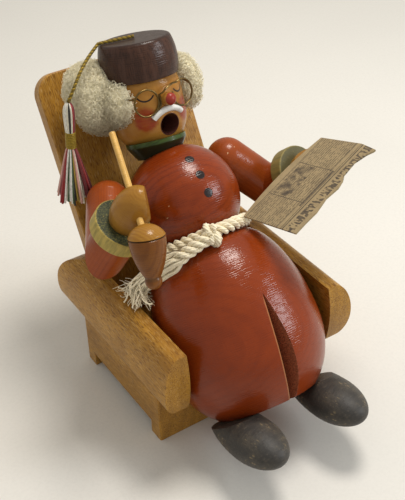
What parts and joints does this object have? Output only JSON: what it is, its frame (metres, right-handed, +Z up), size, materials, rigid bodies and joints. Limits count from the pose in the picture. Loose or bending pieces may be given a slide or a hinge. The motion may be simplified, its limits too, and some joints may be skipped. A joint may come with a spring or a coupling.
{
  "type": "incense smoker figure",
  "caption": "Turned wooden smoking figure in a lounge chair with pipe and newspaper; its upper body lifts out of the robe, which is hollow for an incense cone.",
  "frame": {"origin": "on the ground, in the chair's middle plane, under the middle of the front skid", "axes": "+Z up, -Y the way the figure faces, +X to the figure's left hand"},
  "size_m": [0.1124, 0.1579, 0.1432],
  "materials": {
    "chair_wood": "clear satin lacquer on beech",
    "dowel_wood": "raw beech",
    "red_wood": "brick-red stain under gloss lacquer",
    "shoe_wood": "black stain, worn",
    "tin": "pressed tin",
    "green_wood": "dark green paint",
    "olive_wood": "olive green stain",
    "face_wood": "clear lacquer, painted face",
    "pale_wood": "clear lacquer",
    "bowl_wood": "brown stain, scored line",
    "cap_wood": "dark walnut stain",
    "white_card": "white painted strip",
    "brass_wire": "dull brass wire",
    "wool": "loose natural wool",
    "cotton_rope": "twisted cotton",
    "newsprint": null,
    "gold_cord": "twisted gold cord",
    "tassel_threads": "mixed silky threads",
    "tassel_wrap": "yellow thread wrap"
  },
  "bodies": {
    "chair": {"seat_block": "chair_wood", "armrest_right": "chair_wood", "armrest_left": "chair_wood", "backrest": "chair_wood", "armrest_dowels": "dowel_wood", "backrest_dowels": "dowel_wood", "robe": "red_wood", "robe_dowels": "dowel_wood", "burner_plate": "tin", "shoe_right": "shoe_wood", "shoe_left": "shoe_wood", "shoe_dowels": "dowel_wood", "belt_rope": "cotton_rope", "belt_knot": "cotton_rope", "belt_tail": "cotton_rope"},
    "torso": {"torso": "red_wood", "collar": "green_wood", "head": "face_wood", "nose": "face_wood", "moustache": "white_card", "glasses": "brass_wire", "hair": "wool", "cap": "cap_wood", "cap_dowel": "dowel_wood", "cap_cord": "gold_cord", "upper_arm_right": "red_wood", "upper_arm_left": "red_wood", "forearm_right": "red_wood", "forearm_left": "red_wood", "shoulder_dowels": "dowel_wood", "elbow_dowels": "dowel_wood", "cuff_right": "olive_wood", "cuff_left": "olive_wood", "hand_right": "pale_wood", "hand_left": "pale_wood", "pipe_stem": "pale_wood", "pipe_bowl": "bowl_wood", "newspaper": "newsprint"},
    "tassel": {"tassel_cord": "gold_cord", "tassel_head": "tassel_threads", "tassel_band": "tassel_wrap", "tassel_skirt": "tassel_threads"}
  },
  "joints": [
    {"name": "torso_lift", "type": "slide", "parent": "chair", "child": "torso", "axis": [0, 0.6626, 0.749], "range_m": [0, 0.018]},
    {"name": "tassel_swing", "type": "hinge", "parent": "torso", "child": "tassel", "pos_m": [-0.01292, 0.0736, 0.13919], "axis": [0, 1, 0], "range_deg": [0, 30]}
  ]
}
